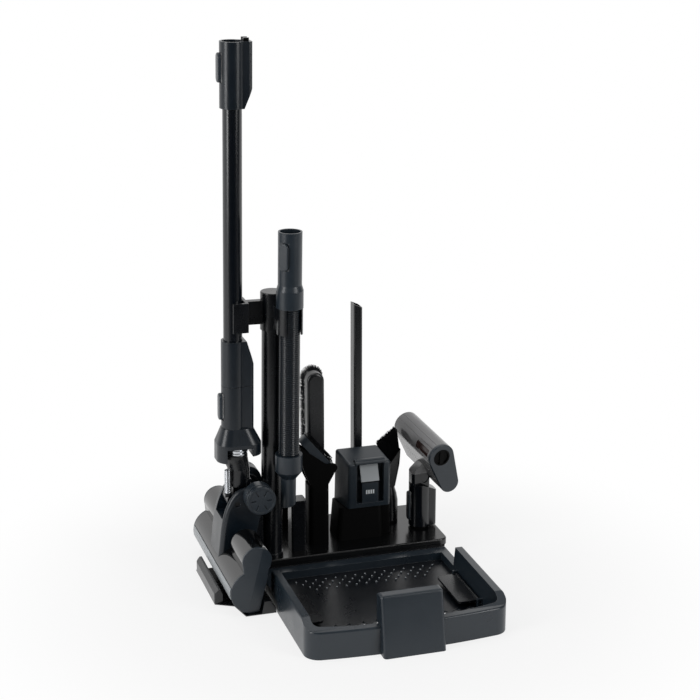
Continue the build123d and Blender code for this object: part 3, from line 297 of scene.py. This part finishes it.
class VACUUM_OT_stage(bpy.types.Operator):
    """Floor, soft studio light and the camera"""
    bl_idname = "vacuum.stage"
    bl_label = "Stage"

    def execute(self, context):
        scene = context.scene
        scene.view_settings.view_transform = "Standard"
        self.camera(scene)
        self.floor(scene)
        self.lights(scene)
        return {"FINISHED"}

    def camera(self, scene):
        data = bpy.data.cameras.new("camera")
        data.lens = 90.55
        data.sensor_width = 36.0
        data.clip_end = 50.0
        made = bpy.data.objects.new("camera", data)
        made.location = (-0.860 - MID_X * MM, -2.815, 1.388)
        made.rotation_euler = (math.pi / 2 - math.radians(17.421), 0.0, -math.radians(17.22))
        scene.collection.objects.link(made)
        scene.camera = made

    def floor(self, scene):
        bm = bmesh.new()
        bmesh.ops.create_circle(bm, cap_ends=True, segments=96, radius=9.0)
        mesh = bpy.data.meshes.new("floor")
        bm.to_mesh(mesh)
        bm.free()
        made = bpy.data.objects.new("floor", mesh)
        scene.collection.objects.link(made)
        mat, tree, shader = blank("paper_sweep")
        shader.inputs["Roughness"].default_value = 0.75
        shader.inputs["Base Color"].default_value = scene.vacuum_colours.floor
        place = add(tree, "ShaderNodeTexCoord").outputs["Object"]
        reach = add(tree, "ShaderNodeVectorMath", {0: place}, operation="LENGTH")
        far = add(tree, "ShaderNodeMapRange", {"Value": reach.outputs["Value"], "From Min": 0.3, "From Max": 0.8,
                                               "To Min": 0.8, "To Max": 1.0}, interpolation_type="SMOOTHSTEP")
        ahead = add(tree, "ShaderNodeSeparateXYZ", {"Vector": place})
        behind = add(tree, "ShaderNodeMapRange", {"Value": ahead.outputs["Y"], "From Min": -1.1, "From Max": -0.5})
        path = add(tree, "ShaderNodeLightPath")
        level = add(tree, "ShaderNodeMath", {0: behind.outputs["Result"], 1: path.outputs["Is Camera Ray"]},
                    operation="MAXIMUM")
        white = add(tree, "ShaderNodeEmission", {"Color": (1, 1, 1, 1), "Strength": level.outputs["Value"]})
        seen = add(tree, "ShaderNodeMath", {0: far.outputs["Result"], 1: self.looked_at(tree)}, operation="MULTIPLY")
        mixed = add(tree, "ShaderNodeMixShader", {0: seen.outputs["Value"], 1: shader.outputs["BSDF"],
                                                  2: white.outputs["Emission"]})
        out = next(n for n in tree.nodes if n.type == "OUTPUT_MATERIAL")
        tree.links.new(mixed.outputs["Shader"], out.inputs["Surface"])
        mesh.materials.append(mat)

    def looked_at(self, tree):
        """1 for rays from the camera, a gloss or glass, which see the white background."""
        path = add(tree, "ShaderNodeLightPath")
        total = add(tree, "ShaderNodeMath", {0: path.outputs["Is Camera Ray"], 1: path.outputs["Is Glossy Ray"]},
                    operation="ADD")
        total = add(tree, "ShaderNodeMath", {0: total.outputs["Value"], 1: path.outputs["Is Transmission Ray"]},
                    operation="ADD", use_clamp=True)
        return total.outputs["Value"]

    def lights(self, scene):
        world = bpy.data.worlds.new("studio")
        scene.world = world
        world.use_nodes = True
        tree = world.node_tree
        tree.nodes.clear()
        # The white paper stands behind the object; towards the camera the studio is dark.
        way = add(tree, "ShaderNodeSeparateXYZ", {"Vector": add(tree, "ShaderNodeTexCoord").outputs["Generated"]})
        behind = add(tree, "ShaderNodeMapRange", {"Value": way.outputs["Y"], "From Min": 0.1, "From Max": 0.6},
                     interpolation_type="SMOOTHSTEP")
        path = add(tree, "ShaderNodeLightPath")
        paper = add(tree, "ShaderNodeMath", {0: behind.outputs["Result"], 1: self.looked_at(tree)}, operation="MULTIPLY")
        white = add(tree, "ShaderNodeMath", {0: paper.outputs["Value"], 1: path.outputs["Is Camera Ray"]},
                    operation="MAXIMUM")
        level = add(tree, "ShaderNodeMapRange", {"Value": white.outputs["Value"], "To Min": 0.16, "To Max": 1.0})
        sky = add(tree, "ShaderNodeBackground", {"Color": (1, 1, 1, 1), "Strength": level.outputs["Result"]})
        add(tree, "ShaderNodeOutputWorld", {"Surface": sky.outputs["Background"]})
        self.softbox(scene, "top_soft", (-0.2, 0.5, 2.6), (0.0, 0.1, 0.2), 2.0, 2.0, 14)
        self.softbox(scene, "left_soft", (-2.4, -0.68, 1.3), (-0.1, 0.1, 0.45), 0.8, 2.3, 34)
        self.softbox(scene, "right_soft", (1.65, -1.95, 1.5), (0.0, 0.1, 0.45), 0.9, 2.3, 31)

    def softbox(self, scene, name, at, to, width, height, watts):
        data = bpy.data.lights.new(name, "AREA")
        data.shape = "RECTANGLE"
        data.size = width
        data.size_y = height
        data.energy = watts
        made = bpy.data.objects.new(name, data)
        made.location = at
        made.rotation_euler = (Vector(to) - Vector(at)).to_track_quat("-Z", "Y").to_euler()
        scene.collection.objects.link(made)


class VACUUM_OT_finishes(bpy.types.Operator):
    """Gives each CAD node its finish"""
    bl_idname = "vacuum.finishes"
    bl_label = "Finishes"

    def execute(self, context):
        c = context.scene.vacuum_colours
        FINISHES.update({
            "black_plastic": moulded("abs_black_grained", c.black, c.black_deep, 0.27, height=0.06),
            "gloss_black": moulded("abs_black_polished", c.gloss, c.gloss_deep, 0.09, height=0.004, coat=0.2, edge_highlight_share=0.12),
            # The tray's upward faces below 13.5 mm are painted black: painted shade on its floor.
            "tray_grey": moulded("abs_tray_grey_floor_painted_shade", c.grey, c.grey_deep, 0.30, low=(13.5, 0.5)),
            "satin_black": moulded("abs_black_satin", c.satin, c.satin_deep, 0.20, height=0.02, edge_highlight_share=0.3),
            "dark_grey": moulded("abs_grey_grained", c.grey, c.grey_deep, 0.34),
            "collar_grey": moulded("abs_collar_satin", c.collar, c.collar_deep, 0.30, height=0.06),
            "dock_black": plain_coloured("abs_black_matt", c.dock, 0.6, 1.2, 0.1, shine=0.1),
            "hose_vinyl": plain_coloured("vinyl_ribbed", c.hose, 0.20, 20.0, 0.0),
            "mid_grey": moulded("abs_light_grey", c.light, c.light_deep, 0.34, edge_highlight_share=0.0),
            "graphite": moulded("abs_graphite_satin", c.graphite, c.graphite_deep, 0.20, height=0.01, edge_highlight_share=0.1,
                                low=(150.0, -2.0)),
            "black_tube": anodised("aluminium_black_anodised", c.tube),
            "rubber": plain_coloured("rubber_moulded", linear("#141414"), 0.8, 0.8, 0.25),
            "nylon": plain_coloured("nylon_strands", c.nylon, 0.75, 0.6, 0.0, shine=0.12),
            "brass": metal("brass_stamped", "#c9a45a", 0.3),
            "steel": metal("steel_drawn", "#b5b7ba", 0.35),
            "chrome": metal("steel_chromed", "#c9ccd0", 0.16),
            "board": plain_coloured("board_lacquered", linear("#1c5230"), 0.35, 3.0, 0.05),
            "cell": plain_coloured("cell_sleeve", linear("#39507a"), 0.4, 6.0, 0.05),
            "white_mark": plain_coloured("light_bar_clear", linear("#dfe4e6"), 0.25, 2.0, 0.02),
            "window": plain_coloured("polycarbonate_smoked", c.window, 0.12, 8.0, 0.01),
        })
        slots = {s["node"]: s["material_slot"] for s in frame["record"]["subparts"]}
        slots.update(mini_shell="graphite", swivel_ring="chrome", top_plate="satin_black", charger_dock="dock_black",
                     wand_contacts="gloss_black", hose_cuff="dark_grey", hose_nozzle="dark_grey",
                     neck_socket="collar_grey", wand_lower_collar="collar_grey", wand_top_collar="collar_grey",
                     wheel_front="dark_grey", wheel_back="dark_grey", saddle="collar_grey",
                     battery_case="dark_grey", mini_lock="dock_black", angle_brush_body="dock_black",
                     tool_pegs="dock_black", wash_tray="tray_grey", tray_front_panel="dark_grey")
        for node, obj in frame["nodes"].items():
            obj.data.materials.clear()
            obj.data.materials.append(FINISHES[slots[node]])
        return {"FINISHED"}


class VACUUM_OT_hose(bpy.types.Operator):
    """Ribbed hose that hangs between its cuff and its nozzle"""
    bl_idname = "vacuum.hose"
    bl_label = "Hose"

    def execute(self, context):
        sizes = context.scene.vacuum_sizes
        top, bottom = 528.0, 252.0
        place = leaning() @ Matrix.Translation(spot(-84.0, 76.5, 0.0))
        path = self.route([place @ Vector((0, 0, z * MM)) for z in (top, 450.0, 390.0, 330.0, bottom)])
        bm = bmesh.new()
        ribbed(bm, sizes.hose_ribs, bottom * MM, top * MM, sizes.hose_radius, sizes.hose_root, 48)
        shade(bm)
        bmesh.ops.transform(bm, matrix=place, verts=bm.verts)
        made = piece("hose_ribs", bm, "hose", "dark_grey", "ribbed_hose", look="hose_vinyl")
        return {"FINISHED"}

    def route(self, points):
        """The smooth line through the hose's route, as points."""
        data = bpy.data.curves.new("hose_route", "CURVE")
        data.dimensions = "3D"
        spline = data.splines.new("NURBS")
        spline.points.add(len(points) - 1)
        for control, point in zip(spline.points, points):
            control.co = (*point, 1.0)
        spline.order_u = 3
        spline.use_endpoint_u = True
        holder = bpy.data.objects.new("hose_route", data)
        mesh = bpy.data.meshes.new_from_object(holder)
        line = [v.co.copy() for v in mesh.vertices]
        bpy.data.objects.remove(holder)
        bpy.data.curves.remove(data)
        bpy.data.meshes.remove(mesh)
        return line


class VACUUM_OT_neck_duct(bpy.types.Operator):
    """Small ribbed duct beside the neck"""
    bl_idname = "vacuum.neck_duct"
    bl_label = "Neck duct"

    def execute(self, context):
        low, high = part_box("neck_hose")
        bm = bmesh.new()
        ribbed(bm, context.scene.vacuum_sizes.duct_rings, low[2], high[2], 6.3 * MM, 4.6 * MM, 28)
        shade(bm)
        centre = Vector(((low[0] + high[0]) / 2, (low[1] + high[1]) / 2, 0.0))
        bmesh.ops.translate(bm, verts=bm.verts, vec=centre)
        piece("neck_duct_ribs", bm, "neck", "gloss_black", "neck_hose", look="chrome")
        return {"FINISHED"}


def plant(bm, lines, width):
    """Nylon strands from root to tip, each a four-sided spike. They are made in small lots, because an operator
    slows down as its mesh grows."""
    for start in range(0, len(lines), 60):
        lot = bmesh.new()
        for root, tip in lines[start:start + 60]:
            run = tip - root
            turn = run.to_track_quat("Z", "Y").to_matrix().to_4x4()
            bmesh.ops.create_cone(lot, cap_ends=True, segments=4, radius1=width / 2, radius2=width / 3,
                                  depth=run.length, matrix=Matrix.Translation((root + tip) / 2) @ turn)
        mesh = bpy.data.meshes.new("lot")
        lot.to_mesh(mesh)
        lot.free()
        bm.from_mesh(mesh)
        bpy.data.meshes.remove(mesh)


class VACUUM_OT_bristles(bpy.types.Operator):
    """Nylon bristles of the three hand brushes"""
    bl_idname = "vacuum.bristles"
    bl_label = "Bristles"

    def execute(self, context):
        width = context.scene.vacuum_sizes.bristle
        chance = random.Random(7)
        self.tall(width, chance)
        self.flat(width, chance)
        self.fan(width, chance)
        return {"FINISHED"}

    def flat(self, width, chance):
        """Short even strands along the angled bar."""
        place = Matrix.Translation(spot(22, 158, 188)) @ Matrix.Rotation(math.radians(50), 4, "Y")
        bm = bmesh.new()
        slab(bm, Matrix.Translation(Vector((-44.0, 0.0, 5.0)) * MM), (70.0, 22.0, 2.0), 0.6)
        lines = []
        for i in range(34):
            for j in range(10):
                x = -77.5 + 67.0 * (i + 0.5 * (j % 2)) / 34
                y = -9.5 + 19.0 * j / 9
                tip = Vector((x + chance.uniform(-0.8, 0.8), y + chance.uniform(-0.8, 0.8),
                              13.0 - chance.uniform(0.0, 0.8)))
                lines.append((Vector((x, y, 5.5)) * MM, tip * MM))
        plant(bm, lines, width)
        bmesh.ops.transform(bm, matrix=place, verts=bm.verts)
        piece("angle_bristles", bm, "angle_bar", "nylon", "angle_brush_bristles")

    def fan(self, width, chance):
        """Long strands that spread from the slanted mouth of the dusting brush."""
        root = (Vector((147.5, 0.0, 150.0)), Vector((176.0, 0.0, 188.5)))
        tips = (Vector((131.5, 0.0, 201.0)), Vector((170.5, 0.0, 231.0)))
        bm = bmesh.new()
        along = root[1] - root[0]
        lift = Vector((-along.z, 0.0, along.x)).normalized()
        middle = (root[0] + root[1]) / 2 + lift
        turn = Matrix.Rotation(-math.atan2(along.z, along.x), 4, "Y")
        slab(bm, Matrix.Translation(spot(middle.x, 210.0, middle.z)) @ turn, (along.length - 1, 22.0, 2.0), 0.6)
        lines = []
        for i in range(44):
            for j in range(15):
                share = 0.03 + 0.94 * (i + 0.5 * (j % 2)) / 44
                y = 210.0 + 10.0 * (j - 7) / 7
                low = root[0].lerp(root[1], share) + lift
                high = tips[0].lerp(tips[1], share)
                high = low.lerp(high, chance.uniform(0.9, 1.0))
                high += Vector((chance.uniform(-0.5, 0.5), 0.0, 0.0))
                lines.append((spot(low.x, y, low.z), spot(high.x, y + chance.uniform(-0.9, 0.9), high.z)))
        plant(bm, lines, width)
        piece("dust_bristles", bm, "dust_brush", "nylon", "dust_brush_bristles")

    def tall(self, width, chance):
        bm = bmesh.new()
        half, low, top, back = 16.0, 190.0, 354.0, 228.0
        crown = top - half
        slab(bm, Matrix.Translation(spot(10, back + 1, (low + crown) / 2)), (2 * half, 2.0, crown - low), 0.6)
        bmesh.ops.create_cone(bm, cap_ends=True, segments=40, radius1=half * MM, radius2=half * MM, depth=2 * MM,
                              matrix=Matrix.Translation(spot(10, back + 1, crown)) @ Matrix.Rotation(math.pi / 2, 4, "X"))
        lines = []
        rows = 72
        for i in range(rows):
            z = low + 6 + (crown - low - 6) * i / rows
            for j in range(11):
                across = (j - 5) / 5
                lines.append(self.splay(across * (half - 1.5), z, across * 6.5, 0.0, back, chance))
            for side in (-1, 1):
                for lift in (2.5, 4.0, 5.5, 7.0):
                    lines.append(self.splay(side * (half - 1), z, side * lift, 0.0, back, chance))
        for ring, lifts in ((0.35, (2.0,)), (0.7, (4.5,)), (0.95, (2.0, 4.0, 6.0, 8.0))):
            count = int(44 * ring) + 4
            for i in range(count + 1):
                a = math.pi * i / count
                reach = ring * half
                for lift in lifts:
                    lines.append(self.splay(reach * math.cos(a), crown + reach * math.sin(a), lift * math.cos(a),
                                            lift * math.sin(a), back, chance))
        plant(bm, lines, width)
        piece("tall_bristles", bm, "tall_brush", "nylon", "tall_brush_bristles")

    def splay(self, x, z, out_x, out_z, back, chance):
        """Root and tip of one strand that leans outwards."""
        root = spot(10 + x, back + 1.5, z)
        tip = spot(10 + x + out_x + chance.uniform(-0.7, 0.7), back + 16.5 * chance.uniform(0.9, 1.0),
                   z + out_z + chance.uniform(-0.7, 0.7))
        return root, tip


class VACUUM_OT_mini_trim(bpy.types.Operator):
    """Window, seams and catch of the small powered brush"""
    bl_idname = "vacuum.mini_trim"
    bl_label = "Small brush trim"

    def execute(self, context):
        bm = bmesh.new()
        self.patch(bm, 26.15, (147.0, 178.0), (-62.0, -16.0), 1.2)
        self.done(bm, "mini_window", "dark_grey", "window")
        bm = bmesh.new()
        for low, high in ((109.0, 110.4), (134.0, 135.0)):
            self.patch(bm, 26.06, (low, high), (-66.0, 72.0), 0.6)
        face = math.atan2(-57.6, 28.1)
        place = Matrix.Translation(Vector((-24.5, 36.0, -8.8)) * MM) @ Matrix.Rotation(-face, 4, "Y")
        slab(bm, place @ Matrix.Translation(Vector((26.0, 0.0, 0.0)) * MM), (15.0, 3.4, 0.5), 0.1)
        slab(bm, place @ Matrix.Translation(Vector((34.0, -17.0, 0.0)) * MM), (1.0, 30.0, 0.5), 0.1)
        self.done(bm, "mini_seams", "gloss_black", "gloss_black")
        bm = bmesh.new()
        self.patch(bm, 26.5, (188.0, 193.0), (-66.0, 72.5), 1.0)
        self.done(bm, "mini_tube_edge", "mid_grey", "graphite")
        return {"FINISHED"}

    def patch(self, bm, radius, angles, ends, thick):
        """A curved strip on the roller's housing: its end section is spun about the roller's axis."""
        start = math.radians(angles[0])
        corners = [(radius - thick, ends[0]), (radius, ends[0]), (radius, ends[1]), (radius - thick, ends[1])]
        verts = [bm.verts.new((r * MM * math.cos(start), y * MM, r * MM * math.sin(start))) for r, y in corners]
        face = bm.faces.new(verts)
        bmesh.ops.spin(bm, geom=[face] + verts + list(face.edges), cent=(0, 0, 0), axis=(0, -1, 0),
                       angle=math.radians(angles[1] - angles[0]), steps=8)

    def done(self, bm, name, slot, look):
        bmesh.ops.recalc_face_normals(bm, faces=bm.faces)
        bmesh.ops.transform(bm, matrix=mini_place(), verts=bm.verts)
        piece(name, bm, "mini", slot, look=look)


class VACUUM_OT_rollers(bpy.types.Operator):
    """Tufted rollers of the floor head and of the small brush"""
    bl_idname = "vacuum.rollers"
    bl_label = "Rollers"

    def execute(self, context):
        chance = random.Random(11)
        width = 1.6 * context.scene.vacuum_sizes.bristle
        head = Matrix.Translation(spot(-181.0, 0.0, 44.0))
        self.roller("head_pile", "brush_roller", "roller", head, (17.0, 23.4), (-25.0, 246.0), (-43.0, 263.0, 4.0),
                    6, width, chance)
        self.roller("mini_pile", "mini_roller", "mini_drum", mini_place(), (15.0, 20.4), (-65.0, 67.0),
                    (-69.4, 68.8, 3.0), 4, width, chance)
        return {"FINISHED"}

    def roller(self, name, node, body, place, radii, drum, shaft, rows, width, chance):
        """A drum on its shaft, with rows of tufts along it; the tufts lean and vary a little."""
        bm = bmesh.new()
        for radius, low, high in ((radii[0], *drum), (shaft[2], shaft[0], shaft[1])):
            turn = Matrix.Translation((0, (low + high) / 2 * MM, 0)) @ Matrix.Rotation(math.pi / 2, 4, "X")
            bmesh.ops.create_cone(bm, cap_ends=True, segments=40, radius1=radius * MM, radius2=radius * MM,
                                  depth=(high - low) * MM, matrix=turn)
        lines = []
        count = int((drum[1] - drum[0] - 4) / 1.5)
        for row in range(rows):
            for across in (-1.0, 0.0, 1.0):
                for i in range(count + 1):
                    y = drum[0] + 2 + (drum[1] - drum[0] - 4) * i / count
                    a = 2 * math.pi * row / rows + 0.06 * across + chance.uniform(-0.02, 0.02)
                    out = Vector((math.sin(a), 0.0, math.cos(a)))
                    reach = radii[1] - chance.uniform(0.0, 0.7)
                    lines.append(((out * (radii[0] - 0.5) + Vector((0, y, 0))) * MM,
                                  (out * reach + Vector((0, y + chance.uniform(-0.6, 0.6), 0))) * MM))
        plant(bm, lines, width)
        bmesh.ops.transform(bm, matrix=place, verts=bm.verts)
        piece(name, bm, body, "nylon", node)


class VACUUM_OT_screws(bpy.types.Operator):
    """Screws that hold the station's bottom cover"""
    bl_idname = "vacuum.screws"
    bl_label = "Screws"

    def execute(self, context):
        bm = bmesh.new()
        outline = [(0.0, 0.9), (1.1, 0.9), (1.3, 0.3), (2.2, 0.1), (2.8, 0.5), (2.9, 1.2)]
        for x in (-70.0, 67.0, 180.0):
            for y in (128.0, 226.0):
                at = spot(x, y, 1.0)
                verts = [bm.verts.new(at + Vector((r, 0.0, z)) * MM) for r, z in outline]
                edges = [bm.edges.new(pair) for pair in zip(verts, verts[1:])]
                bmesh.ops.spin(bm, geom=verts + edges, cent=at, axis=(0, 0, 1), angle=2 * math.pi, steps=24,
                               use_merge=True)
        shade(bm)
        piece("cover_screws", bm, "station", "steel")
        return {"FINISHED"}


class VACUUM_OT_tray_trim(bpy.types.Operator):
    """Light grey caps on the studs in the washing tray: painted highlights."""
    bl_idname = "vacuum.tray_trim"
    bl_label = "Tray trim"

    def execute(self, context):
        bm = bmesh.new()
        # Each flattened light grey cap is a painted highlight on a stud.
        for row, count in enumerate((15, 14, 13, 12)):
            for i in range(count):
                at = spot(54.0 + 19.0 * (i - (count - 1) / 2), 40.0 - 13.0 * row, 12.3)
                bmesh.ops.create_uvsphere(bm, u_segments=10, v_segments=6, radius=1.7 * MM,
                                          matrix=Matrix.Translation(at) @ Matrix.Diagonal((1, 1, 0.5, 1)))
        shade(bm)
        piece("tray_stud_painted_highlights", bm, "tray", "mid_grey")
        return {"FINISHED"}


OPERATORS = (VACUUM_OT_stage, VACUUM_OT_finishes, VACUUM_OT_hose, VACUUM_OT_neck_duct, VACUUM_OT_bristles,
             VACUUM_OT_rollers, VACUUM_OT_mini_trim, VACUUM_OT_tray_trim, VACUUM_OT_screws)


class VACUUM_PT_panel(bpy.types.Panel):
    """Lists the steps that dress the vacuum"""
    bl_idname = "VACUUM_PT_panel"
    bl_label = "Stick vacuum"
    bl_space_type = "VIEW_3D"
    bl_region_type = "UI"
    bl_category = "Vacuum"

    def draw(self, context):
        for group in (context.scene.vacuum_sizes, context.scene.vacuum_colours):
            for key in group.__annotations__:
                self.layout.prop(group, key)
        for step in OPERATORS:
            self.layout.operator(step.bl_idname)


CLASSES = (VacuumSizes, VacuumColours) + OPERATORS + (VACUUM_PT_panel,)


def register():
    for cls in CLASSES:
        bpy.utils.register_class(cls)
    bpy.types.Scene.vacuum_sizes = bpy.props.PointerProperty(type=VacuumSizes)
    bpy.types.Scene.vacuum_colours = bpy.props.PointerProperty(type=VacuumColours)


def unregister():
    del bpy.types.Scene.vacuum_colours
    del bpy.types.Scene.vacuum_sizes
    for cls in reversed(CLASSES):
        bpy.utils.unregister_class(cls)


def main():
    register()
    for step in OPERATORS:
        group, name = step.bl_idname.split(".")
        getattr(getattr(bpy.ops, group), name)()


if __name__ == "__main__":
    main()
